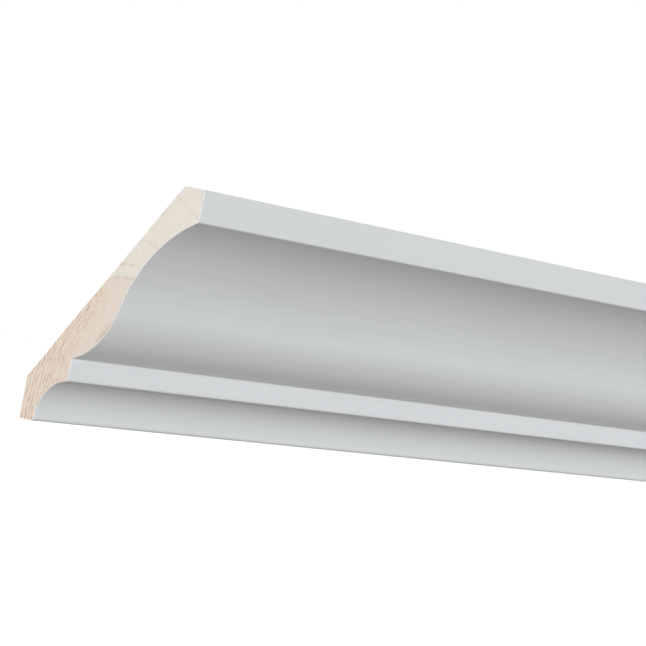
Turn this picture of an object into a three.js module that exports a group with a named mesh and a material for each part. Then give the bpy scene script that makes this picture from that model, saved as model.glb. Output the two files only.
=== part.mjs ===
// A length of primed pine crown moulding, sawn square at both ends.
// Millimetres. X runs along the length, the moulded front looks along -Y and Z is up.
// The origin is the middle of the plumb seat that bears on the wall.
import * as THREE from 'three';

// Overall sizes
const length = 400;
// The section's height down the wall, and its reach along the ceiling
const drop = 85.3;
const projection = 65.8;

// Flats that meet the building
const wallSeatHeight = 14.3;
const ceilingSeatDepth = 9.2;

// Lower edge: its depth, and its slight rise from the wall out to its arris
const lowerEdgeDepth = 7.3;
const lowerEdgeRise = 0.4;

// Plumb bands over and under the ogee
const topBandHeight = 10.4;
const middleBandHeight = 7.7;

// Cove under the middle band: its run out and up, and its dip below a straight line
const coveReach = 12.8;
const coveRise = 15.6;
const coveDepth = 4;

// Ogee: the belly's run out and up from the middle band, then the dip of the hollow over it
const bellyReach = 17.4;
const bellyRise = 18.3;
const hollowDepth = 4.8;

// Largest turn of one facet on the curved stretches
const facetTurn = THREE.MathUtils.degToRad(2.5);

// A point of the section: how far out from the wall, and how far up from the lower edge
function point(out, up) {
  return new THREE.Vector2(out, up);
}

// Centre of the arc that dips by a given depth behind the straight line between two points
function centreOfDip(from, to, depth) {
  const line = to.clone().sub(from);
  const half = line.length() / 2;
  const radius = (half * half + depth * depth) / (2 * depth);
  const forward = point(line.y, -line.x).normalize();
  return from.clone().lerp(to, 0.5).addScaledVector(forward, radius - depth);
}

// Centre of the arc that leaves a point smoothly, away from the arc it meets there
function centreOfBulge(meeting, metCentre, end) {
  const backward = meeting.clone().sub(metCentre).normalize();
  const line = end.clone().sub(meeting);
  const radius = line.lengthSq() / (2 * backward.dot(line));
  return meeting.clone().addScaledVector(backward, radius);
}

// Points of an arc about a centre, after its first point and up to its last one
function arc(from, to, centre) {
  const start = from.clone().sub(centre);
  const finish = to.clone().sub(centre);
  const sweep = Math.atan2(start.cross(finish), start.dot(finish));
  const facets = Math.ceil(Math.abs(sweep) / facetTurn);
  const points = [];
  for (let facet = 1; facet <= facets; facet += 1) {
    points.push(from.clone().rotateAround(centre, (sweep * facet) / facets));
  }
  return points;
}

// Section of the moulding, from the foot of the wall seat out round the front and back down
function section() {
  const foot = point(0, 0);
  const lowerArris = point(lowerEdgeDepth, lowerEdgeRise);
  const middleBandFoot = lowerArris.clone().add(point(coveReach, coveRise));
  const middleBandHead = middleBandFoot.clone().add(point(0, middleBandHeight));
  const ogeeTurn = middleBandHead.clone().add(point(bellyReach, bellyRise));
  const topBandHead = point(projection, drop);
  const topBandFoot = topBandHead.clone().sub(point(0, topBandHeight));
  const ceilingSeatBack = topBandHead.clone().sub(point(ceilingSeatDepth, 0));
  const wallSeatHead = point(0, wallSeatHeight);

  const coveCentre = centreOfDip(lowerArris, middleBandFoot, coveDepth);
  const hollowCentre = centreOfDip(ogeeTurn, topBandFoot, hollowDepth);
  const bellyCentre = centreOfBulge(ogeeTurn, hollowCentre, middleBandHead);

  return new THREE.Shape([
    foot,
    lowerArris,
    ...arc(lowerArris, middleBandFoot, coveCentre),
    middleBandHead,
    ...arc(middleBandHead, ogeeTurn, bellyCentre),
    ...arc(ogeeTurn, topBandFoot, hollowCentre),
    topBandHead,
    ceilingSeatBack,
    wallSeatHead,
  ]);
}

// The solid: the section run along X, with the wall seat's middle at the origin
function mouldingGeometry() {
  const geometry = new THREE.ExtrudeGeometry(section(), { depth: length, bevelEnabled: false });
  geometry.translate(0, -wallSeatHeight / 2, -length / 2);
  const outward = new THREE.Vector3(0, -1, 0);
  const upward = new THREE.Vector3(0, 0, 1);
  const along = new THREE.Vector3(-1, 0, 0);
  geometry.applyMatrix4(new THREE.Matrix4().makeBasis(outward, upward, along));
  return geometry;
}

const primedPine = new THREE.MeshStandardMaterial({ color: 0xdcddde, roughness: 0.55, metalness: 0 });

const moulding = new THREE.Mesh(mouldingGeometry(), primedPine);
moulding.name = 'crown_moulding';

const group = new THREE.Group();
group.add(moulding);

export default group;
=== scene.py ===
"""The looks of a length of primed pine crown moulding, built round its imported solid.

Blender's space is in metres with +Z up. X runs along the moulding, its moulded face looks
along -Y, and the origin is the middle of the seat that bears on the wall. Sizes in the
classes are real ones in millimetres, and MM turns them into metres.
"""

import logging
import math
from dataclasses import dataclass
from enum import Enum
from typing import Any

import bpy
from mathutils import Matrix, Vector


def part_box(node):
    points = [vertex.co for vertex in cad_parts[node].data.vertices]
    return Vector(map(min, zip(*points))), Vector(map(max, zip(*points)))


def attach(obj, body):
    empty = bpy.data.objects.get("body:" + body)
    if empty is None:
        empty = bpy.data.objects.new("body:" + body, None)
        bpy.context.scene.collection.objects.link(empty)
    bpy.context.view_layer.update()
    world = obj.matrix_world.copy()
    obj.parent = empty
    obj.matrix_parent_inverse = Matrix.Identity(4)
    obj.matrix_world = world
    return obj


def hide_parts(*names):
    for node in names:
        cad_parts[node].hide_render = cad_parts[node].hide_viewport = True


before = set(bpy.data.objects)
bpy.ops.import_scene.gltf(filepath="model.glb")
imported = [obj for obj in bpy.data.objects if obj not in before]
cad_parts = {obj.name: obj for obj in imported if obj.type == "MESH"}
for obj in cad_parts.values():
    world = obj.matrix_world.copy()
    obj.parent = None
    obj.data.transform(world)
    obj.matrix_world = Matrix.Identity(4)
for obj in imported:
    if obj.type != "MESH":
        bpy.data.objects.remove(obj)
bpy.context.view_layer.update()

MM = 0.001
NODE = "crown_moulding"
BODY = "root"
# A face wears primer where more than this share of it does
OVER_HALF = 0.6

log = logging.getLogger("moulding")


def linear(code: str) -> tuple[float, float, float, float]:
    """Turns an sRGB hex colour into the linear colour that a shader takes.

    Args:
        code: The colour as #RRGGBB.

    Returns:
        Red, green, blue and an alpha of 1.
    """
    shares = [int(code[at:at + 2], 16) / 255 for at in (1, 3, 5)]
    plain = [s / 12.92 if s <= 0.04045 else ((s + 0.055) / 1.055) ** 2.4 for s in shares]
    return (*plain, 1.0)


def feed(tree: bpy.types.NodeTree, node: bpy.types.Node, inputs: dict[Any, Any]) -> None:
    """Gives a node its inputs.

    Args:
        tree: The tree that holds the node.
        node: The node.
        inputs: What feeds each input, by its name or number: a value, an output socket, or a
            node, which gives the first of its outputs that is in use.
    """
    for key, value in inputs.items():
        socket = node.inputs[key] if isinstance(key, int) else next(
            each for each in node.inputs if each.name == key and each.enabled)
        if isinstance(value, bpy.types.Node):
            value = next(each for each in value.outputs if each.enabled)
        if isinstance(value, bpy.types.NodeSocket):
            tree.links.new(value, socket)
        else:
            socket.default_value = value


def add_node(tree: bpy.types.NodeTree, kind: str, inputs: dict[Any, Any] | None = None,
             stops: dict[float, float] | None = None, **settings: Any) -> bpy.types.Node:
    """Adds a node to a tree, with its settings and what feeds it.

    Args:
        tree: The tree that the node goes into.
        kind: Blender's name for the node's type.
        inputs: What feeds it.
        stops: The values of a ramp, by their places from 0 to 1, joined smoothly.
        **settings: The node's own properties.

    Returns:
        The new node.
    """
    node = tree.nodes.new(kind)
    for name, value in settings.items():
        setattr(node, name, value)
    for at, (where, value) in enumerate((stops or {}).items()):
        line = node.color_ramp
        line.interpolation = "EASE"
        stop = line.elements[at] if at < 2 else line.elements.new(where)
        stop.position = where
        stop.color = (value, value, value, 1)
    feed(tree, node, inputs or {})
    return node


def fresh_material(name: str) -> tuple[bpy.types.Material, bpy.types.NodeTree, bpy.types.Node]:
    """Makes a material with nothing in it but its shader.

    Args:
        name: What the material is.

    Returns:
        The material, its tree and its shader.
    """
    made = bpy.data.materials.new(name)
    made.use_nodes = True
    tree = made.node_tree
    return made, tree, tree.nodes["Principled BSDF"]


class Face(Enum):
    """Which finish a stretch of the section wears along its length."""

    PRIMED = 1.0
    PLANED = 0.0


@dataclass(frozen=True)
class Stretch:
    """One flat or round stretch of the section, in millimetres.

    Attributes:
        start: Where it starts, out from the wall and up from the foot.
        end: Where it ends.
        face: The finish that it wears.
        centre: The centre of a round stretch, or None for a flat one.
    """

    start: Vector
    end: Vector
    face: Face
    centre: Vector | None = None

    def turn(self) -> float:
        """The angle that a round stretch turns through, positive when it turns left."""
        first, last = self.start - self.centre, self.end - self.centre
        return math.atan2(first.x * last.y - first.y * last.x, first.dot(last))

    def length(self) -> float:
        """Measures the stretch.

        Returns:
            Its length, in millimetres.
        """
        if self.centre is None:
            return (self.end - self.start).length
        return abs(self.turn()) * (self.start - self.centre).length

    def at(self, distance: float) -> tuple[Vector, Vector]:
        """Finds a point on the stretch.

        Args:
            distance: How far along the stretch the point lies.

        Returns:
            The point, and the unit direction of travel there.
        """
        share = distance / self.length()
        if self.centre is None:
            return self.start.lerp(self.end, share), (self.end - self.start).normalized()
        turned = Matrix.Rotation(self.turn() * share, 2) @ (self.start - self.centre)
        ahead = Vector((-turned.y, turned.x)).normalized()
        return self.centre + turned, ahead * math.copysign(1, self.turn())


@dataclass(frozen=True)
class OutlinePoint:
    """A point of the section's outline: its place, the way out of the wood, and its finish."""

    place: Vector
    outward: Vector
    face: Face


@dataclass(frozen=True)
class Section:
    """The section of the moulding as it stands between wall and ceiling, in millimetres.

    Attributes:
        drop: Its height down the wall.
        projection: Its reach along the ceiling.
        wall_seat: Height of the flat on the wall.
        ceiling_seat: Depth of the flat on the ceiling.
        lower_edge: Depth of the lower edge.
        lower_edge_rise: Rise of the lower edge from the wall to its arris.
        top_band: Height of the plumb band under the ceiling.
        middle_band: Height of the plumb band over the cove.
        cove_reach: The cove's run outwards.
        cove_rise: The cove's run upwards.
        cove_depth: The cove's dip below a straight line.
        belly_reach: The ogee's belly, outwards from the middle band.
        belly_rise: The ogee's belly, upwards from the middle band.
        hollow_depth: The dip of the ogee's hollow below a straight line.
        arris: Softness of the milled arrises under their coat, as a radius.
        lower_arris: Radius of the lowest arris, which is eased most.
        band_arris: Radius of the arris under each band.
        inner_corner: Radius of the paint that fills the corner over the middle band.
        painted_step: Longest facet round the primed face.
        planed_step: Longest facet on the flat back and seats.
    """

    drop: float
    projection: float
    wall_seat: float = 14.3
    ceiling_seat: float = 9.2
    lower_edge: float = 7.3
    lower_edge_rise: float = 0.4
    top_band: float = 10.4
    middle_band: float = 7.7
    cove_reach: float = 12.8
    cove_rise: float = 15.6
    cove_depth: float = 4.0
    belly_reach: float = 17.4
    belly_rise: float = 18.3
    hollow_depth: float = 4.8
    arris: float = 0.4
    lower_arris: float = 1.35
    band_arris: float = 0.85
    inner_corner: float = 0.3
    painted_step: float = 1.0
    planed_step: float = 1.2

    @property
    def spring(self) -> float:
        """The angle between the back and the wall."""
        run = self.projection - self.ceiling_seat
        return math.atan2(run, self.drop - self.wall_seat)

    def stretches(self) -> list[Stretch]:
        """Works out the flats and rounds of the section from its sizes.

        Returns:
            The stretches in turn, from the foot outwards, up the face and down the back.
        """
        foot = Vector((0, 0))
        lower = Vector((self.lower_edge, self.lower_edge_rise))
        band_foot = lower + Vector((self.cove_reach, self.cove_rise))
        band_head = band_foot + Vector((0, self.middle_band))
        turn = band_head + Vector((self.belly_reach, self.belly_rise))
        top_head = Vector((self.projection, self.drop))
        top_foot = top_head - Vector((0, self.top_band))
        seat_back = top_head - Vector((self.ceiling_seat, 0))
        seat_head = Vector((0, self.wall_seat))
        cove = self.centre_of_dip(lower, band_foot, self.cove_depth)
        hollow = self.centre_of_dip(turn, top_foot, self.hollow_depth)
        belly = self.centre_of_bulge(turn, hollow, band_head)
        return [
            Stretch(foot, lower, Face.PRIMED),
            Stretch(lower, band_foot, Face.PRIMED, cove),
            Stretch(band_foot, band_head, Face.PRIMED),
            Stretch(band_head, turn, Face.PRIMED, belly),
            Stretch(turn, top_foot, Face.PRIMED, hollow),
            Stretch(top_foot, top_head, Face.PRIMED),
            Stretch(top_head, seat_back, Face.PLANED),
            Stretch(seat_back, seat_head, Face.PLANED),
            Stretch(seat_head, foot, Face.PLANED),
        ]

    def corner_radii(self) -> list[float]:
        """The radius of the corner at the start of each stretch, or 0 where they run on."""
        soft, slight, band = self.arris, self.arris / 2, self.band_arris
        return [soft, self.lower_arris, band, self.inner_corner, 0, band, soft, slight, slight]

    @staticmethod
    def centre_of_dip(start: Vector, end: Vector, depth: float) -> Vector:
        """Finds the centre of an arc from how far it dips behind a straight line.

        Args:
            start: Where the arc starts.
            end: Where it ends.
            depth: The dip at its middle.

        Returns:
            The centre.
        """
        line = end - start
        radius = ((line.length / 2) ** 2 + depth ** 2) / (2 * depth)
        forward = Vector((line.y, -line.x)).normalized()
        return start.lerp(end, 0.5) + forward * (radius - depth)

    @staticmethod
    def centre_of_bulge(meeting: Vector, met_centre: Vector, end: Vector) -> Vector:
        """Finds the centre of an arc that runs on smoothly from another arc.

        Args:
            meeting: Where the two arcs meet.
            met_centre: The other arc's centre.
            end: Where the arc ends.

        Returns:
            The centre, on the far side of the meeting from the other centre.
        """
        backward = (meeting - met_centre).normalized()
        line = end - meeting
        return meeting + backward * (line.length_squared / (2 * backward.dot(line)))

    def outline(self) -> list[OutlinePoint]:
        """Works out the closed outline with its soft corners.

        Returns:
            Its points in turn, from the foot outwards, up the face and down the back.
        """
        stretches, radii = self.stretches(), self.corner_radii()
        count = len(stretches)
        trims = [self.trim(stretches[at - 1], stretches[at], radii[at]) for at in range(count)]
        points = []
        for at, stretch in enumerate(stretches):
            before, following = stretches[at - 1], (at + 1) % count
            if radii[at]:
                points += self.round_corner(
                    before.at(before.length() - trims[at]), stretch.at(trims[at]),
                    Face(max(before.face.value, stretch.face.value)))
            run = self.along(stretch, trims[at], stretch.length() - trims[following])
            points += run if radii[following] else run[:-1]
        return points

    @staticmethod
    def trim(before: Stretch, after: Stretch, radius: float) -> float:
        """Finds how much a soft corner takes off each of the two stretches that it joins."""
        turned = before.at(before.length())[1].angle(after.at(0)[1])
        return radius * math.tan(turned / 2)

    def along(self, stretch: Stretch, first: float, last: float) -> list[OutlinePoint]:
        """Sets points along a stretch, with one close to each end to keep its shading true.

        Args:
            stretch: The stretch.
            first: Where along it the first point lies.
            last: Where the last point lies.

        Returns:
            The points.
        """
        step = self.painted_step if stretch.face is Face.PRIMED else self.planed_step
        close = 0.12
        count = math.ceil((last - first) / step)
        between = [first + (last - first) * at / count for at in range(1, count)]
        points = []
        for distance in [first, first + close, *between, last - close, last]:
            place, ahead = stretch.at(distance)
            points.append(OutlinePoint(place, Vector((ahead.y, -ahead.x)), stretch.face))
        return points

    @staticmethod
    def round_corner(leaving: tuple[Vector, Vector], arriving: tuple[Vector, Vector],
                     face: Face) -> list[OutlinePoint]:
        """Rounds a corner between two stretches.

        Args:
            leaving: The point and direction in which the first stretch leaves off.
            arriving: The point and direction in which the second one starts.
            face: The finish that the corner wears.

        Returns:
            The points inside the corner, without its two ends.
        """
        (start, ahead), (end, onward) = leaving, arriving
        cross = ahead.x * onward.y - ahead.y * onward.x
        gap = end - start
        corner = start + ahead * ((gap.x * onward.y - gap.y * onward.x) / cross)
        facets = 6
        points = []
        for facet in range(1, facets):
            share = facet / facets
            first, second = start.lerp(corner, share), corner.lerp(end, share)
            going = (second - first).normalized()
            points.append(
                OutlinePoint(first.lerp(second, share), Vector((going.y, -going.x)), face))
        return points

    @staticmethod
    def girths(outline: list[OutlinePoint]) -> list[float]:
        """Finds how far round the outline each of its points lies.

        Args:
            outline: The points.

        Returns:
            The distance of each point from the first, and last the whole way round.
        """
        girths = [0.0]
        for before, after in zip(outline, outline[1:] + outline[:1]):
            girths.append(girths[-1] + (after.place - before.place).length)
        return girths

    def to_space(self, place: Vector) -> Vector:
        """Gives a point of the section in Blender's space, at the middle of the length."""
        return Vector((0, -place.x, place.y - self.wall_seat / 2)) * MM

    def on_board(self, place: Vector) -> Vector:
        """Finds where a point of the section lies on the board that it was milled from.

        Args:
            place: The point, out from the wall and up from the foot.

        Returns:
            How far up the back's plane it lies from the foot, and how far in front of it.
        """
        sine, cosine = math.sin(self.spring), math.cos(self.spring)
        return Vector((place.x * sine + place.y * cosine,
                       place.x * cosine + (self.wall_seat - place.y) * sine))


@dataclass(frozen=True)
class Grain:
    """Soft noise with a real size, for marks that run along the piece.

    Attributes:
        length: How long a mark is, in millimetres.
        width: How wide it is.
        reach: How far it reaches across the piece, where that isn't its width.
        turn: The turn of that reach from the first axis across, in radians.
        detail: Octaves of finer noise in it.
        roughness: How strong they are.
    """

    length: float
    width: float
    reach: float | None = None
    turn: float = 0.0
    detail: float = 2.0
    roughness: float = 0.5

    def lay(self, tree: bpy.types.NodeTree, place: bpy.types.Node) -> bpy.types.Node:
        """Adds the noise to a material.

        Args:
            tree: The material's tree.
            place: Coordinates in millimetres, the first of them along the piece.

        Returns:
            The noise, as a value and as a colour.
        """
        stretched = add_node(tree, "ShaderNodeMapping", {
            "Vector": place, "Rotation": (self.turn, 0, 0),
            "Scale": (self.length, self.reach or self.width, self.width)}, vector_type="TEXTURE")
        return add_node(tree, "ShaderNodeTexNoise", {
            "Vector": stretched, "Scale": 1, "Detail": self.detail, "Roughness": self.roughness})


@dataclass(frozen=True)
class PineGrowth:
    """How the tree grew through the blank, as one solid pattern that every bare face cuts.

    The upper part holds wide cream rings, and the lower part tight tan ones that open out
    towards the foot. Places are millimetres up the back's plane and in front of it.

    Attributes:
        section: The section that was milled from the blank.
        wide_pith: The centre of the wide rings.
        wide_first: Radius at which the wide rings start.
        wide_ring: Growth of one wide ring.
        tight_pith: The centre of the tight rings.
        tight_first: Radius at which the tight rings are at their closest.
        tight_ring: Growth of one tight ring there.
        tight_easing: Further radius at which that growth has doubled.
        tight_fade: Where up the back the tight rings' lines start to fade, and where they have.
        tight_lean: How much lower they fade for each millimetre in front of the back.
        wander: How the rings wander.
        wander_by: How far they would wander at the noise's full range.
        fray: How the tight rings fray as well.
        fray_by: How far they would fray at the noise's full range.
        gaps: Breaks in the wide rings' late wood.
        tufts: Tufts of fibre, lighter and darker.
        flames: Flames in the tan wood, which lie along its rings.
        patches: Broad changes of colour.
        streak_place: The middle of a streak of resin near the belly's face.
        streak_size: Half its width up the back, and half its depth.
        cream: Wood of the wide rings.
        cream_line: Their late wood.
        tan: Plain wood inside the wide rings.
        tan_pale: Early wood of the tight rings.
        tan_line: Their late wood.
        resin: The streak of resin.
        chip_shade: Painted shade in the chips along a cut, as a dull brown.
    """

    section: Section
    wide_pith: tuple[float, float] = (52.5, 17.1)
    wide_first: float = 16.9
    wide_ring: float = 4.35
    tight_pith: tuple[float, float] = (76.8, 103.0)
    tight_first: float = 102.0
    tight_ring: float = 0.82
    tight_easing: float = 16.5
    tight_fade: tuple[float, float] = (57.6, 68.8)
    tight_lean: float = 3.2
    wander: Grain = Grain(120, 14)
    wander_by: float = 2.4
    fray: Grain = Grain(90, 2, detail=3, roughness=0.6)
    fray_by: float = 1.9
    gaps: Grain = Grain(110, 1.67)
    tufts: Grain = Grain(25, 0.8, detail=3, roughness=0.6)
    flames: Grain = Grain(70, 1.3, reach=5, turn=math.radians(-26), detail=3, roughness=0.55)
    patches: Grain = Grain(60, 4)
    streak_place: tuple[float, float] = (47.0, 13.2)
    streak_size: tuple[float, float] = (4.5, 1.2)
    cream: str = "#E9DED1"
    cream_line: str = "#D2B49C"
    tan: str = "#E6D5C7"
    tan_pale: str = "#EAD8C9"
    tan_line: str = "#CAA98D"
    resin: str = "#D3B39A"
    # Painted shade: the dull brown that chips are darkened towards, as shade in their hollows
    chip_shade: str = "#8D8272"

    def board_place(self, tree: bpy.types.NodeTree) -> bpy.types.Node:
        """Adds coordinates on the board that the moulding was milled from.

        Args:
            tree: The material's tree.

        Returns:
            Millimetres along the board, up the back's plane, and in front of it.
        """
        spring = self.section.spring
        half_seat = self.section.wall_seat / 2
        return add_node(tree, "ShaderNodeMapping", {
            "Vector": add_node(tree, "ShaderNodeTexCoord").outputs["Object"],
            "Location": (0, half_seat * math.cos(spring), half_seat * math.sin(spring)),
            "Rotation": (math.pi + math.pi / 2 - spring, 0, 0),
            "Scale": (1000, 1000, 1000),
        }, vector_type="POINT")

    def radius(self, tree: bpy.types.NodeTree, place: bpy.types.Node,
               pith: tuple[float, float]) -> bpy.types.NodeSocket:
        """Adds the distance of a place from a pith that runs the length of the blank.

        Args:
            tree: The material's tree.
            place: Coordinates on the board.
            pith: The pith's place on the board.

        Returns:
            The radius in millimetres.
        """
        across = add_node(tree, "ShaderNodeVectorMath", {0: place, 1: (0, 1, 1)},
                          operation="MULTIPLY")
        return add_node(tree, "ShaderNodeVectorMath", {0: across, 1: (0, *pith)},
                        operation="DISTANCE").outputs["Value"]

    def shifted(self, tree: bpy.types.NodeTree, place: bpy.types.Node, noise: bpy.types.Node,
                by: float) -> bpy.types.Node:
        """Adds a place moved across the blank by noise, so that what it draws is uneven.

        Args:
            tree: The material's tree.
            place: Coordinates on the board.
            noise: The noise.
            by: The shift at the noise's full range, in millimetres.

        Returns:
            The moved coordinates.
        """
        centred = add_node(tree, "ShaderNodeVectorMath",
                           {0: noise.outputs["Color"], 1: (0.5, 0.5, 0.5)},
                           operation="SUBTRACT")
        return add_node(tree, "ShaderNodeVectorMath",
                        {0: centred, 1: (0, by, by), 2: place}, operation="MULTIPLY_ADD")

    def wood(self, tree: bpy.types.NodeTree) -> bpy.types.Node:
        """Adds the whole growth pattern to a material.

        Args:
            tree: The material's tree.

        Returns:
            The colour of the bare wood.
        """
        board = self.board_place(tree)
        place = self.shifted(tree, board, self.wander.lay(tree, board), self.wander_by)
        tuft = self.tufts.lay(tree, board)
        wide_radius = self.radius(tree, place, self.wide_pith)
        cream = self.cream_wood(tree, board, wide_radius, tuft)
        tan = self.tan_wood(tree, board, place)
        # Cream wood lies outside the first wide ring, in the upper half alone
        in_radius = add_node(tree, "ShaderNodeMapRange", {
            0: wide_radius, 1: self.wide_first - 0.4, 2: self.wide_first + 0.3, 3: 0, 4: 1})
        spot = add_node(tree, "ShaderNodeSeparateXYZ", {0: place})
        in_height = add_node(tree, "ShaderNodeMapRange",
                             {0: spot.outputs["Y"], 1: 50, 2: 54, 3: 0, 4: 1})
        in_cream = add_node(tree, "ShaderNodeMath", {0: in_radius, 1: in_height},
                            operation="MULTIPLY")
        both = add_node(tree, "ShaderNodeMix", {"Factor": in_cream, "A": tan, "B": cream},
                        data_type="RGBA")
        fine = add_node(tree, "ShaderNodeMapRange", {0: tuft, 1: 0.3, 2: 0.7, 3: 0.945, 4: 1.045})
        broad = add_node(tree, "ShaderNodeMapRange", {
            0: self.patches.lay(tree, board), 1: 0.3, 2: 0.7, 3: 0.975, 4: 1.02})
        shade = add_node(tree, "ShaderNodeMath", {0: fine, 1: broad}, operation="MULTIPLY")
        clean = add_node(tree, "ShaderNodeVectorMath", {0: both, "Scale": shade},
                         operation="SCALE")
        # Painted shade: chips along a cut are mixed towards a dull brown, more where they are
        # deeper
        shade_in_chips = add_node(tree, "ShaderNodeAttribute", attribute_name="shade_in_chips")
        return add_node(tree, "ShaderNodeMix", {
            "Factor": shade_in_chips.outputs["Fac"], "A": clean, "B": linear(self.chip_shade)},
            data_type="RGBA")

    def cream_wood(self, tree: bpy.types.NodeTree, board: bpy.types.Node,
                   radius: bpy.types.NodeSocket, tuft: bpy.types.Node) -> bpy.types.Node:
        """Adds the wide rings: pale early wood that darkens to a soft, broken line.

        Args:
            tree: The material's tree.
            board: Coordinates on the board.
            radius: Distance from the wide rings' pith.
            tuft: The tufts of fibre.

        Returns:
            The colour.
        """
        rings = add_node(tree, "ShaderNodeMapRange", {
            0: radius, 1: self.wide_first, 2: self.wide_first + self.wide_ring, 3: 0, 4: 1},
            clamp=False)
        share = add_node(tree, "ShaderNodeMath", {0: rings}, operation="FRACT")
        late = add_node(tree, "ShaderNodeValToRGB", {0: share},
                        stops={0.0: 0.35, 0.08: 1.0, 0.2: 0.5, 0.42: 0.0, 0.85: 0.0})
        # The rings that show, by radius over this span: two strong ones, a dotted one, a thin one
        span = 60
        far = add_node(tree, "ShaderNodeMath", {0: radius, 1: span}, operation="DIVIDE")
        strength = add_node(tree, "ShaderNodeValToRGB", {0: far}, stops={
            0.26: 1.0, 0.375: 0.8, 0.41: 0.04, 0.47: 0.06, 0.5: 0.6, 0.54: 0.1, 0.77: 0.04,
            0.79: 0.45, 0.82: 0.05})
        line = add_node(tree, "ShaderNodeMath", {0: late, 1: strength}, operation="MULTIPLY")
        gap = add_node(tree, "ShaderNodeMapRange", {
            0: self.gaps.lay(tree, board), 1: 0.4, 2: 0.62, 3: 0.25, 4: 1.15})
        gapped = add_node(tree, "ShaderNodeMath", {0: line, 1: gap}, operation="MULTIPLY")
        dots = add_node(tree, "ShaderNodeMapRange", {0: tuft, 1: 0.36, 2: 0.66, 3: 0.25, 4: 1.2})
        dotted = add_node(tree, "ShaderNodeMath", {0: gapped, 1: dots}, operation="MULTIPLY",
                          use_clamp=True)
        return add_node(tree, "ShaderNodeMix", {
            "Factor": dotted, "A": linear(self.cream), "B": linear(self.cream_line)},
            data_type="RGBA")

    def tan_wood(self, tree: bpy.types.NodeTree, board: bpy.types.Node,
                 place: bpy.types.Node) -> bpy.types.Node:
        """Adds the tight rings: tan lines that fray and flame, and a streak of resin.

        Args:
            tree: The material's tree.
            board: Coordinates on the board.
            place: The same, moved as the rings wander.

        Returns:
            The colour.
        """
        frayed = self.shifted(tree, place, self.fray.lay(tree, board), self.fray_by)
        radius = self.radius(tree, frayed, self.tight_pith)
        opened = add_node(tree, "ShaderNodeMapRange", {
            0: radius, 1: self.tight_first, 2: self.tight_first + self.tight_easing, 3: 1, 4: 2},
            clamp=False)
        grown = add_node(tree, "ShaderNodeMath", {0: opened, 1: math.e}, operation="LOGARITHM")
        rings = add_node(tree, "ShaderNodeMath",
                         {0: grown, 1: self.tight_easing / self.tight_ring},
                         operation="MULTIPLY")
        share = add_node(tree, "ShaderNodeMath", {0: rings}, operation="FRACT")
        late = add_node(tree, "ShaderNodeValToRGB", {0: share},
                        stops={0.0: 0.2, 0.12: 0.0, 0.45: 0.06, 0.76: 0.85, 0.88: 1.0})
        reach = add_node(tree, "ShaderNodeVectorMath", {0: place, 1: (0, 1, self.tight_lean)},
                         operation="DOT_PRODUCT")
        fade, faded = self.tight_fade
        shown = add_node(tree, "ShaderNodeMapRange",
                         {0: reach.outputs["Value"], 1: fade, 2: faded, 3: 1, 4: 0.1})
        line = add_node(tree, "ShaderNodeMath", {0: late, 1: shown}, operation="MULTIPLY")
        flame = add_node(tree, "ShaderNodeMapRange", {
            0: self.flames.lay(tree, board), 1: 0.38, 2: 0.62, 3: 0.14, 4: 1.0})
        flamed = add_node(tree, "ShaderNodeMath", {0: line, 1: flame}, operation="MULTIPLY",
                          use_clamp=True)
        early = add_node(tree, "ShaderNodeMix", {
            "Factor": shown, "A": linear(self.tan), "B": linear(self.tan_pale)},
            data_type="RGBA")
        tan = add_node(tree, "ShaderNodeMix", {
            "Factor": flamed, "A": early, "B": linear(self.tan_line)}, data_type="RGBA")
        per_size = tuple(1 / half for half in self.streak_size)
        middle = tuple(at * per for at, per in zip(self.streak_place, per_size))
        in_sizes = add_node(tree, "ShaderNodeVectorMath", {0: place, 1: (0, *per_size)},
                            operation="MULTIPLY")
        off_streak = add_node(tree, "ShaderNodeVectorMath", {0: in_sizes, 1: (0, *middle)},
                              operation="DISTANCE")
        streak = add_node(tree, "ShaderNodeMapRange",
                          {0: off_streak.outputs["Value"], 1: 0.5, 2: 1.4, 3: 0.55, 4: 0})
        return add_node(tree, "ShaderNodeMix", {
            "Factor": streak, "A": tan, "B": linear(self.resin)}, data_type="RGBA")


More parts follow.
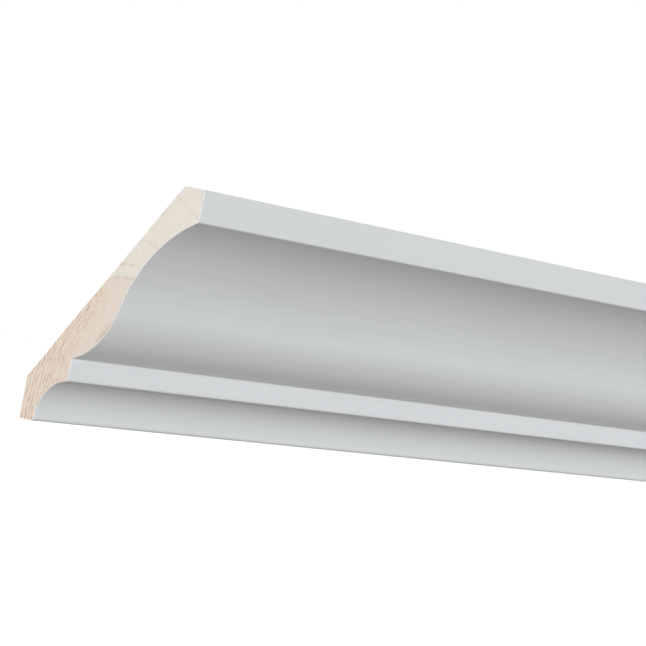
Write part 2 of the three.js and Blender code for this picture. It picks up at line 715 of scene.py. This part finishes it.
@dataclass(frozen=True)
class SprayedPrimer:
    """Matt acrylic primer, sprayed on and flash dried.

    To the eye it is an even grey-white skin. The planed grain below still shows as faint
    streaks along it, and the spray leaves soft clouds and a fine pebble.

    Attributes:
        coat: Colour of the coat.
        shine: Roughness of the coat.
        streaks: Grain that shows through the coat.
        clouds: Changes in the coat's thickness.
        pebble: The spray's pebble, 0.5 mm across, drawn coarser so that it shows.
    """

    coat: str = "#EDEDED"
    shine: float = 0.5
    streaks: Grain = Grain(71, 1.1, roughness=0.45)
    clouds: Grain = Grain(83, 9)
    pebble: Grain = Grain(0.9, 0.9)

    def material(self) -> bpy.types.Material:
        """Makes the material.

        Returns:
            The material.
        """
        made, tree, shader = fresh_material("sprayed acrylic primer")
        metres = add_node(tree, "ShaderNodeTexCoord").outputs["Object"]
        place = add_node(tree, "ShaderNodeVectorMath", {0: metres, "Scale": 1 / MM},
                         operation="SCALE")
        grain, cloud = self.streaks.lay(tree, place), self.clouds.lay(tree, place)
        tone = add_node(tree, "ShaderNodeMapRange", {0: grain, 1: 0.3, 2: 0.7, 3: 0.986, 4: 1.01})
        thickness = add_node(tree, "ShaderNodeMapRange",
                             {0: cloud, 1: 0.3, 2: 0.7, 3: 0.99, 4: 1.008})
        shade = add_node(tree, "ShaderNodeMath", {0: tone, 1: thickness}, operation="MULTIPLY")
        colour = add_node(tree, "ShaderNodeVectorMath",
                          {0: linear(self.coat)[:3], "Scale": shade}, operation="SCALE")
        gloss = add_node(tree, "ShaderNodeMapRange", {
            0: cloud, 1: 0.3, 2: 0.7, 3: self.shine - 0.04, 4: self.shine + 0.04})
        ridges = add_node(tree, "ShaderNodeBump",
                          {"Height": grain, "Distance": 0.02 * MM, "Strength": 1})
        skin = add_node(tree, "ShaderNodeBump", {
            "Height": self.pebble.lay(tree, place), "Distance": 0.008 * MM, "Strength": 1,
            "Normal": ridges})
        feed(tree, shader, {
            "Base Color": colour, "Roughness": gloss, "Normal": skin,
            "IOR": 1.45, "Specular IOR Level": 0.35})
        return made


@dataclass(frozen=True)
class SawnPineEnd:
    """Pine end grain, crosscut by a fine circular saw.

    To the eye it is dry and chalky. Its rings are soft lines, the saw's shallow arcs cross
    them, and the cut fibres stand up in a fuzz.

    Attributes:
        growth: How the wood grew.
        saw_radius: Radius of the saw blade, in millimetres.
        saw_low: The point of the board that the blade's rim touched last.
        tooth_mark: Spacing of the marks that its teeth left.
        fuzz: The fuzz of cut fibres.
    """

    growth: PineGrowth
    saw_radius: float = 127.0
    saw_low: tuple[float, float] = (20.0, 12.0)
    tooth_mark: float = 1.3
    fuzz: Grain = Grain(0.36, 0.36, roughness=0.6)

    def material(self) -> bpy.types.Material:
        """Makes the material.

        Returns:
            The material.
        """
        made, tree, shader = fresh_material("crosscut pine end grain")
        board = self.growth.board_place(tree)
        hub = (self.saw_low[0], self.saw_low[1] + self.saw_radius)
        turns = add_node(tree, "ShaderNodeMath", {
            0: self.growth.radius(tree, board, hub), 1: math.tau / self.tooth_mark},
            operation="MULTIPLY")
        arcs = add_node(tree, "ShaderNodeMath", {0: turns}, operation="SINE")
        marks = add_node(tree, "ShaderNodeBump",
                         {"Height": arcs, "Distance": 0.006 * MM, "Strength": 1})
        fibres = add_node(tree, "ShaderNodeBump", {
            "Height": self.fuzz.lay(tree, board), "Distance": 0.04 * MM, "Strength": 1,
            "Normal": marks})
        feed(tree, shader, {
            "Base Color": self.growth.wood(tree), "Roughness": 0.82, "Normal": fibres,
            "IOR": 1.45, "Specular IOR Level": 0.2})
        return made


@dataclass(frozen=True)
class PlanedPine:
    """Pine as it left the planer, bare on the back and seats.

    To the eye it is pale and satin, with its rings as long lines and the cutter's faint
    ripple across them. Primer mist has drifted round the arrises.

    Attributes:
        growth: How the wood grew.
        coat: Colour of the primer mist.
        drift: How far the mist drifted past the primed face, in millimetres.
        knife_mark: Spacing of the cutter's ripple.
        droplets: The mist's droplets, 0.2 mm across, drawn coarser so that they show.
        fibres: Ridges of fibre that planing leaves.
    """

    growth: PineGrowth
    coat: str = SprayedPrimer.coat
    drift: float = 6.0
    knife_mark: float = 2.0
    droplets: Grain = Grain(0.7, 0.7, detail=3, roughness=0.7)
    fibres: Grain = Grain(16, 0.33, detail=3)

    def material(self) -> bpy.types.Material:
        """Makes the material.

        Returns:
            The material.
        """
        made, tree, shader = fresh_material("planed bare pine")
        wood = self.growth.wood(tree)
        board = self.growth.board_place(tree)
        past = add_node(tree, "ShaderNodeAttribute", attribute_name="past_primer")
        thinning = add_node(tree, "ShaderNodeMapRange",
                            {0: past.outputs["Fac"], 1: 0, 2: self.drift, 3: 0.85, 4: 0.1})
        thick = add_node(tree, "ShaderNodeMath",
                         {0: thinning, 1: self.droplets.lay(tree, board)})
        mist = add_node(tree, "ShaderNodeMapRange", {0: thick, 1: 0.75, 2: 1.1, 3: 0, 4: 1})
        colour = add_node(tree, "ShaderNodeMix", {
            "Factor": mist, "A": wood, "B": linear(self.coat)}, data_type="RGBA")
        spot = add_node(tree, "ShaderNodeSeparateXYZ", {0: board})
        turns = add_node(tree, "ShaderNodeMath",
                         {0: spot.outputs["X"], 1: math.tau / self.knife_mark},
                         operation="MULTIPLY")
        ripple = add_node(tree, "ShaderNodeMath", {0: turns}, operation="SINE")
        marks = add_node(tree, "ShaderNodeBump",
                         {"Height": ripple, "Distance": 0.003 * MM, "Strength": 1})
        grain = add_node(tree, "ShaderNodeBump", {
            "Height": self.fibres.lay(tree, board), "Distance": 0.03 * MM, "Strength": 1,
            "Normal": marks})
        feed(tree, shader, {
            "Base Color": colour, "Roughness": 0.6, "Normal": grain,
            "IOR": 1.45, "Specular IOR Level": 0.3})
        return made


@dataclass(frozen=True)
class Chip:
    """A chip out of the arris between a sawn end and the back, in millimetres.

    Attributes:
        up_back: How far up the back its middle lies from the foot.
        length: Its length along the arris.
        depth: Its depth.
    """

    up_back: float
    length: float
    depth: float

    def depth_at(self, up_back: float) -> float:
        """Finds how deep the chip is at a place up the back, with 0 beyond its ends."""
        return self.depth * max(0.0, 1 - (2 * (up_back - self.up_back) / self.length) ** 4)


@dataclass
class CrownMoulding:
    """The length of moulding: its section swept along, its sawn ends and its finishes.

    Attributes:
        section: The section.
        length: Its length, in metres.
        primer: Finish of the moulded face.
        sawn: Finish of the sawn ends.
        planed: Finish of the back and seats.
        stations: Steps along the length.
        arris_rings: How many of them round the arris of a sawn end.
        arris: Softness of that arris, in millimetres.
        film: Thickness of the primer that shows at the cut, in millimetres.
        near_chips: Chips along the back of the left end.
        far_chips: Chips along the back of the right end.
        ripple: Full range of the lengthwise waves that milling leaves, in millimetres.
        wave: Width and length of those waves, in millimetres.
        seed: What the chips' raggedness and the waves are drawn from.
    """

    section: Section
    length: float
    primer: SprayedPrimer
    sawn: SawnPineEnd
    planed: PlanedPine
    stations: int = 160
    arris_rings: int = 4
    arris: float = 0.06
    film: float = 0.06
    near_chips: tuple[Chip, ...] = (Chip(90.4, 5.4, 0.5), Chip(50.6, 2.6, 0.35))
    far_chips: tuple[Chip, ...] = (Chip(71.0, 4.0, 0.5), Chip(24.5, 3.0, 0.4))
    ripple: float = 0.016
    wave: tuple[float, float] = (3.5, 85.0)
    seed: int = 131

    def build(self) -> bpy.types.Object:
        """Makes the piece and rides it on its body in place of the plain solid.

        Returns:
            The finished piece.
        """
        outline = self.section.outline()
        girths = self.section.girths(outline)
        primed_girth = max(girth for girth, point in zip(girths, outline)
                           if point.face is Face.PRIMED)
        piece = bpy.data.objects.new("primed_crown_moulding",
                                     self.profile(outline, girths, primed_girth))
        bpy.context.scene.collection.objects.link(piece)
        tree = self.run_tree()
        run = piece.modifiers.new("run", "NODES")
        run.node_group = tree
        sizes = {
            "Length": self.length, "Stations": self.stations, "Arris": self.arris * MM,
            "Film": self.film * MM, "Ripple": self.ripple * MM, "Seed": self.seed,
            "Primer": self.primer.material(), "Sawn pine": self.sawn.material(),
            "Planed pine": self.planed.material(),
        }
        for socket in tree.interface.items_tree:
            if socket.name in sizes:
                run[socket.identifier] = sizes[socket.name]
        swept = bpy.data.meshes.new_from_object(
            piece.evaluated_get(bpy.context.evaluated_depsgraph_get()))
        piece.modifiers.remove(run)
        swept.name = piece.name
        piece.data = swept
        self.lay_out(swept, girths[-1], primed_girth)
        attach(piece, BODY)
        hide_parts(NODE)
        return piece

    def profile(self, outline: list[OutlinePoint], girths: list[float],
                primed_girth: float) -> bpy.types.Mesh:
        """Makes the section as a loop of edges that carries what the sweep needs.

        Args:
            outline: The section's outline.
            girths: How far round it each point lies, and the whole way round.
            primed_girth: How far round the primed face ends.

        Returns:
            The mesh.
        """
        count = len(outline)
        places = [self.section.to_space(point.place) for point in outline]
        corners = [stretch.start for stretch in self.section.stretches()]
        up_backs = [self.section.on_board(point.place).x for point in outline]
        mesh = bpy.data.meshes.new("moulding section")
        mesh.from_pydata(places, [(at, (at + 1) % count) for at in range(count)], [])
        numbers = {
            "girth": girths[:-1],
            "painted": [point.face.value for point in outline],
            "past_primer": [
                0.0 if point.face is Face.PRIMED else min(girth - primed_girth, girths[-1] - girth)
                for point, girth in zip(outline, girths)],
            # Waves die out from 2.1 mm to 0.6 mm off a corner, so that the corners stay true
            "clear": [
                min(1.0, max(0.0, min((point.place - c).length for c in corners) / 1.5 - 0.4))
                for point in outline],
        }
        for name, chips in (("near_chip", self.near_chips), ("far_chip", self.far_chips)):
            numbers[name] = [
                max(chip.depth_at(up_back) for chip in chips) * MM if self.on_back(point) else 0.0
                for point, up_back in zip(outline, up_backs)]
        for name, values in numbers.items():
            mesh.attributes.new(name, "FLOAT", "POINT").data.foreach_set("value", values)
        vectors = {
            "place": places,
            "outward": [Vector((0, -point.outward.x, point.outward.y)) for point in outline],
        }
        for name, values in vectors.items():
            flat = [part for vector in values for part in vector]
            mesh.attributes.new(name, "FLOAT_VECTOR", "POINT").data.foreach_set("vector", flat)
        return mesh

    def on_back(self, point: OutlinePoint) -> bool:
        """Tells whether a point of the outline lies on the flat of the bare back."""
        return point.face is Face.PLANED and self.section.on_board(point.place).y < 0.01

    def run_tree(self) -> bpy.types.GeometryNodeTree:
        """Builds the nodes that sweep the outline, soften and chip the cuts and dress it all.

        Returns:
            The tree, with a named input for each size and material.
        """
        tree = bpy.data.node_groups.new("moulding run", "GeometryNodeTree")
        sockets = {
            "Geometry": "Geometry", "Length": "Float", "Stations": "Int", "Arris": "Float",
            "Film": "Float", "Ripple": "Float", "Seed": "Int",
            "Primer": "Material", "Sawn pine": "Material", "Planed pine": "Material",
        }
        for name, kind in sockets.items():
            tree.interface.new_socket(name, in_out="INPUT", socket_type=f"NodeSocket{kind}")
        tree.interface.new_socket("Geometry", in_out="OUTPUT",
                                  socket_type="NodeSocketGeometry")
        size = add_node(tree, "NodeGroupInput").outputs
        half = add_node(tree, "ShaderNodeMath", {0: size["Length"], 1: 0.5},
                        operation="MULTIPLY")
        sweep = self.sweep(tree, size, half)
        kinds = {"station": "FLOAT", "girth": "FLOAT", "painted": "FLOAT", "clear": "FLOAT",
                 "near_chip": "FLOAT", "far_chip": "FLOAT", "place": "FLOAT_VECTOR",
                 "outward": "FLOAT_VECTOR"}
        carried = {
            name: add_node(tree, "GeometryNodeInputNamedAttribute", {"Name": name},
                           data_type=kind)
            for name, kind in kinds.items()}
        cut = self.from_the_cuts(tree, size, carried)
        chip = self.chips(tree, size, carried, cut)
        arris = add_node(tree, "ShaderNodeMath", {0: chip, 1: size["Arris"]})
        along, inset = self.softened(tree, size, carried, cut, half, arris)
        wave = self.waves(tree, size, carried)
        lift = add_node(tree, "ShaderNodeMath", {0: wave, 1: inset}, operation="SUBTRACT")
        spot = add_node(tree, "ShaderNodeSeparateXYZ", {0: carried["place"]})
        placed = add_node(tree, "ShaderNodeCombineXYZ", {
            "X": along, "Y": spot.outputs["Y"], "Z": spot.outputs["Z"]})
        lifted = add_node(tree, "ShaderNodeVectorMath", {0: carried["outward"], "Scale": lift},
                          operation="SCALE")
        final = add_node(tree, "ShaderNodeVectorMath", {0: placed, 1: lifted}, operation="ADD")
        # Painted shade in the chips, stored on the points for the wood's colour
        marked = add_node(tree, "GeometryNodeStoreNamedAttribute", {
            "Geometry": sweep, "Name": "shade_in_chips", "Value": self.chip_shade(tree, cut, chip)},
            data_type="FLOAT", domain="POINT")
        shaped = add_node(tree, "GeometryNodeSetPosition",
                          {"Geometry": marked, "Position": final})
        add_node(tree, "NodeGroupOutput",
                 {"Geometry": self.dressed(tree, size, shaped, carried, cut)})
        return tree

    def sweep(self, tree: bpy.types.GeometryNodeTree, size: Any,
              half: bpy.types.Node) -> bpy.types.Node:
        """Adds the outline's sweep along a straight line, closed at both ends.

        Args:
            tree: The tree.
            size: The tree's named inputs.
            half: Half the length.

        Returns:
            The swept mesh, facing outwards, whose points know their station.
        """
        last = add_node(tree, "ShaderNodeCombineXYZ", {"X": half})
        first = add_node(tree, "ShaderNodeVectorMath", {0: last, "Scale": -1.0},
                         operation="SCALE")
        line = add_node(tree, "GeometryNodeCurvePrimitiveLine", {"Start": first, "End": last})
        count = add_node(tree, "ShaderNodeMath", {0: size["Stations"], 1: 1})
        path = add_node(tree, "GeometryNodeResampleCurve", {"Curve": line, "Count": count})
        numbered = add_node(tree, "GeometryNodeStoreNamedAttribute", {
            "Geometry": path, "Name": "station", "Value": add_node(tree, "GeometryNodeInputIndex")
        }, data_type="FLOAT", domain="POINT")
        section = add_node(tree, "GeometryNodeMeshToCurve", {"Mesh": size["Geometry"]})
        swept = add_node(tree, "GeometryNodeCurveToMesh", {
            "Curve": numbered, "Profile Curve": section, "Fill Caps": True})
        return add_node(tree, "GeometryNodeFlipFaces", {"Mesh": swept})

    def from_the_cuts(self, tree: bpy.types.GeometryNodeTree, size: Any,
                      carried: dict[str, bpy.types.Node]) -> dict[str, bpy.types.Node]:
        """Adds how each point lies to the sawn ends.

        Args:
            tree: The tree.
            size: The tree's named inputs.
            carried: What the outline's points and the stations carry.

        Returns:
            inward, the stations in from the nearer end; side, -1 at the left end and 1 at
            the right; rim, 1 on the cut itself; turn, the angle round the arris from the
            cut's face; and run, the share of the way from the arris to the middle.
        """
        from_right = add_node(tree, "ShaderNodeMath",
                              {0: size["Stations"], 1: carried["station"]},
                              operation="SUBTRACT")
        inward = add_node(tree, "ShaderNodeMath", {0: carried["station"], 1: from_right},
                          operation="MINIMUM")
        middle = add_node(tree, "ShaderNodeMath", {0: size["Stations"], 1: 0.5},
                          operation="MULTIPLY")
        off_middle = add_node(tree, "ShaderNodeMath", {0: carried["station"], 1: middle},
                              operation="SUBTRACT")
        even_run = add_node(tree, "ShaderNodeMapRange",
                            {0: inward, 1: self.arris_rings, 2: middle, 3: 0, 4: 1})
        return {
            "inward": inward,
            "side": add_node(tree, "ShaderNodeMath", {0: off_middle}, operation="SIGN"),
            "rim": add_node(tree, "ShaderNodeMapRange", {0: inward, 1: 0, 2: 1, 3: 1, 4: 0}),
            "turn": add_node(tree, "ShaderNodeMapRange", {
                0: inward, 1: 1, 2: self.arris_rings, 3: 0, 4: math.pi / 2}),
            # Stations stand closer near the cuts, so that the arris keeps its crisp shading
            "run": add_node(tree, "ShaderNodeMath", {0: even_run, 1: 1.5}, operation="POWER"),
        }

    def chips(self, tree: bpy.types.GeometryNodeTree, size: Any,
              carried: dict[str, bpy.types.Node],
              cut: dict[str, bpy.types.Node]) -> bpy.types.Node:
        """Adds the chips' depth, made ragged by noise 2 mm long.

        Args:
            tree: The tree.
            size: The tree's named inputs.
            carried: What the outline's points carry.
            cut: How each point lies to the sawn ends.

        Returns:
            The depth.
        """
        right = add_node(tree, "ShaderNodeMath", {0: cut["side"], 1: 0.0},
                         operation="GREATER_THAN")
        chip = add_node(tree, "ShaderNodeMix",
                        {0: right, 2: carried["near_chip"], 3: carried["far_chip"]})
        row = add_node(tree, "ShaderNodeMath", {0: carried["girth"], 1: 0.5},
                       operation="MULTIPLY")
        place = add_node(tree, "ShaderNodeCombineXYZ",
                         {"X": row, "Y": cut["side"], "Z": size["Seed"]})
        noise = add_node(tree, "ShaderNodeTexNoise", {"Vector": place, "Scale": 1, "Detail": 3})
        ragged = add_node(tree, "ShaderNodeMapRange",
                          {0: noise, 1: 0.35, 2: 0.65, 3: 0.5, 4: 1.0})
        return add_node(tree, "ShaderNodeMath", {0: chip, 1: ragged}, operation="MULTIPLY")

    def chip_shade(self, tree: bpy.types.GeometryNodeTree, cut: dict[str, bpy.types.Node],
             chip: bpy.types.Node) -> bpy.types.Node:
        """Adds the painted shade in a chip: full where it is 0.25 mm deep, and none on the cut.

        Args:
            tree: The tree.
            cut: How each point lies to the sawn ends.
            chip: The chips' depth, in metres.

        Returns:
            The share of painted shade.
        """
        per_depth = add_node(tree, "ShaderNodeMapRange", {
            0: cut["inward"], 1: self.arris_rings, 2: self.arris_rings + 2,
            3: 1 / (0.25 * MM), 4: 0})
        off_rim = add_node(tree, "ShaderNodeMath", {0: 1, 1: cut["rim"]}, operation="SUBTRACT")
        held = add_node(tree, "ShaderNodeMath", {0: per_depth, 1: off_rim},
                        operation="MULTIPLY")
        return add_node(tree, "ShaderNodeMath", {0: chip, 1: held}, operation="MULTIPLY",
                        use_clamp=True)

    def softened(self, tree: bpy.types.GeometryNodeTree, size: Any,
                 carried: dict[str, bpy.types.Node], cut: dict[str, bpy.types.Node],
                 half: bpy.types.Node,
                 arris: bpy.types.Node) -> tuple[bpy.types.Node, bpy.types.Node]:
        """Adds a quarter round along each cut, with the primer's rim inside it.

        Args:
            tree: The tree.
            size: The tree's named inputs.
            carried: What the outline's points carry.
            cut: How each point lies to the sawn ends.
            half: Half the length.
            arris: The arris's softness.

        Returns:
            How far along a point lies, and how far in from the outline.
        """
        cosine = add_node(tree, "ShaderNodeMath", {0: cut["turn"]}, operation="COSINE")
        sine = add_node(tree, "ShaderNodeMath", {0: cut["turn"]}, operation="SINE")
        less_cosine = add_node(tree, "ShaderNodeMath", {0: 1, 1: cosine}, operation="SUBTRACT")
        less_sine = add_node(tree, "ShaderNodeMath", {0: 1, 1: sine}, operation="SUBTRACT")
        arris_back = add_node(tree, "ShaderNodeMath", {0: arris, 1: less_cosine},
                              operation="MULTIPLY")
        plain = add_node(tree, "ShaderNodeMath", {0: half, 1: arris}, operation="SUBTRACT")
        setback = add_node(tree, "ShaderNodeMath", {0: cut["run"], 1: plain, 2: arris_back},
                           operation="MULTIPLY_ADD")
        off_middle = add_node(tree, "ShaderNodeMath", {0: half, 1: setback},
                              operation="SUBTRACT")
        along = add_node(tree, "ShaderNodeMath", {0: off_middle, 1: cut["side"]},
                         operation="MULTIPLY")
        arris_in = add_node(tree, "ShaderNodeMath", {0: arris, 1: less_sine},
                            operation="MULTIPLY")
        # The rim at the cut is as wide as the film, and a quarter of that on bare wood
        film = add_node(tree, "ShaderNodeMath", {0: size["Film"], 1: cut["rim"]},
                        operation="MULTIPLY")
        width = add_node(tree, "ShaderNodeMath", {0: carried["painted"], 1: 0.25},
                         operation="MAXIMUM")
        inset = add_node(tree, "ShaderNodeMath", {0: film, 1: width, 2: arris_in},
                         operation="MULTIPLY_ADD")
        return along, inset

    def waves(self, tree: bpy.types.GeometryNodeTree, size: Any,
              carried: dict[str, bpy.types.Node]) -> bpy.types.Node:
        """Adds the long, low waves that milling leaves on the primed face.

        Args:
            tree: The tree.
            size: The tree's named inputs.
            carried: What the outline's points carry.

        Returns:
            How far a wave lifts the face, as much inwards as outwards.
        """
        width, length = self.wave
        here = add_node(tree, "ShaderNodeSeparateXYZ",
                        {0: add_node(tree, "GeometryNodeInputPosition")})
        run = add_node(tree, "ShaderNodeMath", {0: here.outputs["X"], 1: 1 / (length * MM)},
                       operation="MULTIPLY")
        row = add_node(tree, "ShaderNodeMath", {0: carried["girth"], 1: 1 / width},
                       operation="MULTIPLY")
        place = add_node(tree, "ShaderNodeCombineXYZ", {"X": run, "Y": row, "Z": size["Seed"]})
        noise = add_node(tree, "ShaderNodeTexNoise", {"Vector": place, "Scale": 1})
        swell = add_node(tree, "ShaderNodeMath", {0: noise, 1: 0.5}, operation="SUBTRACT")
        height = add_node(tree, "ShaderNodeMath", {0: swell, 1: size["Ripple"]},
                          operation="MULTIPLY")
        calm = add_node(tree, "ShaderNodeMath", {0: carried["clear"], 1: carried["painted"]},
                        operation="MULTIPLY")
        return add_node(tree, "ShaderNodeMath", {0: height, 1: calm}, operation="MULTIPLY")

    def dressed(self, tree: bpy.types.GeometryNodeTree, size: Any, shaped: bpy.types.Node,
                carried: dict[str, bpy.types.Node],
                cut: dict[str, bpy.types.Node]) -> bpy.types.Node:
        """Adds the finishes: planed wood, then the sawn ends, then primer over both.

        Args:
            tree: The tree.
            size: The tree's named inputs.
            shaped: The mesh in its final shape.
            carried: What the outline's points carry.
            cut: How each point lies to the sawn ends.

        Returns:
            The mesh with its materials.
        """
        smooth = add_node(tree, "GeometryNodeSetShadeSmooth",
                          {"Geometry": shaped, "Shade Smooth": True})
        at_end = add_node(tree, "FunctionNodeCompare",
                          {0: cut["inward"], 1: float(self.arris_rings)},
                          operation="LESS_THAN")
        coated = add_node(tree, "FunctionNodeCompare", {0: carried["painted"], 1: OVER_HALF},
                          operation="GREATER_THAN")
        # All of the cut's own face lies at station 0, and the rim's faces reach station 1
        off_cut = add_node(tree, "FunctionNodeCompare", {0: cut["inward"], 1: 0.25},
                           operation="GREATER_THAN")
        wears_coat = add_node(tree, "FunctionNodeBooleanMath", {0: coated, 1: off_cut},
                              operation="AND")
        real = add_node(tree, "GeometryNodeRealizeInstances", {"Geometry": smooth})
        planed = add_node(tree, "GeometryNodeSetMaterial",
                          {"Geometry": real, "Material": size["Planed pine"]})
        sawn = add_node(tree, "GeometryNodeSetMaterial", {
            "Geometry": planed, "Selection": at_end, "Material": size["Sawn pine"]})
        return add_node(tree, "GeometryNodeSetMaterial", {
            "Geometry": sawn, "Selection": wears_coat, "Material": size["Primer"]})

    def lay_out(self, mesh: bpy.types.Mesh, girth: float, primed_girth: float) -> None:
        """Lays the swept mesh out flat on a square sheet: primed strip, bare strip, both ends.

        Args:
            mesh: The swept mesh, whose unneeded attributes are then dropped.
            girth: The whole way round the section, in millimetres.
            primed_girth: How far round the primed face ends.
        """
        # The sheet's own pixels, and pixels for each millimetre
        sheet = 1024
        margin = 6
        room = sheet - 2 * margin
        top_arris = Vector((self.section.projection, self.section.drop))
        along_scale = room / (self.length / MM)
        end_scale = room / self.section.on_board(top_arris).x
        primed_scale = 3.2
        # Each end is thinner than this, in millimetres
        end_room = 15.5
        bare_row = 2 * margin + primed_girth * primed_scale
        end_row = bare_row + (girth - primed_girth) * along_scale + margin
        names = ("station", "girth", "painted")
        carried = {name: [each.value for each in mesh.attributes[name].data] for name in names}
        flat = mesh.uv_layers.new(name="OFBake")
        for face in mesh.polygons:
            corners = list(face.vertices)
            stations = [min(carried["station"][at], self.stations - carried["station"][at])
                        for at in corners]
            on_end = sum(stations) / len(corners) < self.arris_rings
            coated = sum(carried["painted"][at] for at in corners) / len(corners) > OVER_HALF
            for loop, at in zip(face.loop_indices, corners):
                spot = mesh.vertices[at].co / MM
                along = margin + (spot.x + self.length / MM / 2) * along_scale
                rounded = carried["girth"][at]
                if on_end:
                    row = end_row + (end_room * end_scale + margin) * (spot.x > 0)
                    place = self.section.on_board(
                        Vector((-spot.y, spot.z + self.section.wall_seat / 2)))
                    laid = (margin + place.x * end_scale, row + place.y * end_scale)
                elif coated:
                    laid = (along, margin + rounded * primed_scale)
                else:
                    rounded += girth if rounded < primed_girth / 2 else 0
                    laid = (along, bare_row + (rounded - primed_girth) * along_scale)
                flat.uv[loop].vector = (laid[0] / sheet, laid[1] / sheet)
        for name in (*names, "clear", "near_chip", "far_chip", "place", "outward"):
            mesh.attributes.remove(mesh.attributes[name])


@dataclass(frozen=True)
class Viewpoint:
    """The photograph's camera, which was rolled so that the moulding climbs to the left.

    Attributes:
        place: Where it stands, in millimetres.
        azimuth: Which way it looks, in degrees from +Y towards +X.
        pitch: How far it looks up, in degrees.
        roll: How far it is turned about its own line of sight, in degrees.
        lens: Its focal length on a sensor 36 mm wide.
    """

    place: tuple[float, float, float] = (-697.34, -579.75, 69.43)
    azimuth: float = 47.580
    pitch: float = -1.974
    roll: float = 11.282
    lens: float = 128.17

    def build(self) -> bpy.types.Object:
        """Makes the camera and gives it to the scene.

        Returns:
            The camera.
        """
        data = bpy.data.cameras.new("photo camera")
        data.lens = self.lens
        data.sensor_width = 36
        data.sensor_fit = "HORIZONTAL"
        data.clip_start = 0.01
        camera = bpy.data.objects.new("photo camera", data)
        bpy.context.scene.collection.objects.link(camera)
        azimuth, pitch = math.radians(self.azimuth), math.radians(self.pitch)
        ahead = Vector((math.sin(azimuth) * math.cos(pitch), math.cos(azimuth) * math.cos(pitch),
                        math.sin(pitch)))
        right = ahead.cross(Vector((0, 0, 1))).normalized()
        right = Matrix.Rotation(-math.radians(self.roll), 3, ahead) @ right
        up = right.cross(ahead)
        turned = Matrix((right, up, -ahead)).transposed()
        camera.matrix_world = Matrix.Translation(Vector(self.place) * MM) @ turned.to_4x4()
        bpy.context.scene.camera = camera
        return camera


@dataclass(frozen=True)
class Studio:
    """A plain pale room: soft light all round and a broad key light from above the cut end.

    Attributes:
        around: Brightness of the light from all round.
        around_tint: Its tint, slightly warm.
        key: Strength of the key light.
        key_from: The way to the key light.
        key_width: How broad it and the light behind look, in degrees.
        key_tint: Its tint, slightly cool.
        fill: Power of the soft box that fills in from the right, in watts.
        fill_from: Where the soft box stands, in metres.
        behind: Strength of the light that reaches the back, where the camera can't see.
        behind_from: The way to that light.
        floor_drop: Height of the floor, in metres.
        floor_glow: How much the floor shines, so that it just matches the white behind it.
    """

    around: float = 0.18
    around_tint: tuple[float, float, float] = (1.13, 1.05, 0.94)
    key: float = 3.86
    key_from: tuple[float, float, float] = (-0.859, -0.507, 0.045)
    key_width: float = 32.0
    key_tint: tuple[float, float, float] = (0.945, 1.012, 1.06)
    fill: float = 4.1
    fill_from: tuple[float, float, float] = (0.9, -1.3, 0.25)
    behind: float = 2.4
    behind_from: tuple[float, float, float] = (0.3, 0.78, 0.55)
    floor_drop: float = -0.4
    floor_glow: float = 0.44

    def build(self) -> None:
        """Lights the room and lays its floor."""
        bpy.context.scene.view_settings.view_transform = "Standard"
        self.room()
        self.sun("key light", self.key, self.key_from)
        self.sun("back light", self.behind, self.behind_from)
        soft_box = bpy.data.lights.new("soft box", "AREA")
        soft_box.energy = self.fill
        soft_box.size = 1.0
        soft_box.color = self.key_tint
        fill = bpy.data.objects.new("soft box", soft_box)
        fill.location = self.fill_from
        fill.rotation_euler = Vector(self.fill_from).to_track_quat("Z", "Y").to_euler()
        fill.visible_camera = False
        bpy.context.scene.collection.objects.link(fill)
        self.floor()

    def sun(self, name: str, strength: float, toward: tuple[float, float, float]) -> None:
        """Adds a broad light that is too far away to fall off.

        Args:
            name: What it is called.
            strength: Its strength.
            toward: The way to it.
        """
        data = bpy.data.lights.new(name, "SUN")
        data.energy = strength
        data.angle = math.radians(self.key_width)
        data.color = self.key_tint
        light = bpy.data.objects.new(name, data)
        light.rotation_euler = Vector(toward).to_track_quat("Z", "Y").to_euler()
        bpy.context.scene.collection.objects.link(light)

    def room(self) -> None:
        """Makes the light from all round, and the white that the camera sees behind."""
        world = bpy.data.worlds.new("studio")
        world.use_nodes = True
        tree = world.node_tree
        tree.nodes.clear()
        seen = add_node(tree, "ShaderNodeBackground", {"Color": (1, 1, 1, 1), "Strength": 1.0})
        felt = add_node(tree, "ShaderNodeBackground", {
            "Color": (*self.around_tint, 1), "Strength": self.around})
        direct = add_node(tree, "ShaderNodeLightPath").outputs["Is Camera Ray"]
        both = add_node(tree, "ShaderNodeMixShader", {0: direct, 1: felt, 2: seen})
        add_node(tree, "ShaderNodeOutputWorld", {"Surface": both})
        bpy.context.scene.world = world

    def floor(self) -> None:
        """Lays a round pale floor."""
        made, tree, shader = fresh_material("pale studio floor")
        feed(tree, shader, {
            "Base Color": linear("#F4F4F4"), "Emission Color": (1, 1, 1, 1),
            "Emission Strength": self.floor_glow})
        radius, facets = 6.0, 96
        rim = [(radius * math.cos(math.tau * at / facets),
                radius * math.sin(math.tau * at / facets), self.floor_drop)
               for at in range(facets)]
        mesh = bpy.data.meshes.new("studio floor")
        mesh.from_pydata(rim, [], [tuple(range(facets))])
        mesh.materials.append(made)
        floor = bpy.data.objects.new("studio_floor", mesh)
        floor.visible_diffuse = False
        floor.visible_glossy = False
        bpy.context.scene.collection.objects.link(floor)


def main() -> None:
    """Builds the camera, the room and the moulding, and reports each."""
    logging.basicConfig(level=logging.INFO, format="%(name)s: %(message)s")
    camera = Viewpoint().build()
    log.info("%s looks from %s", camera.name, [round(part, 3) for part in camera.location])
    Studio().build()
    log.info("studio is lit")
    low, high = (Vector(corner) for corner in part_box(NODE))
    size = high - low
    section = Section(drop=size.z / MM, projection=size.y / MM)
    growth = PineGrowth(section)
    moulding = CrownMoulding(section, size.x, SprayedPrimer(), SawnPineEnd(growth),
                             PlanedPine(growth)).build()
    log.info("%s has %d faces", moulding.name, len(moulding.data.polygons))


if __name__ == "__main__":
    main()
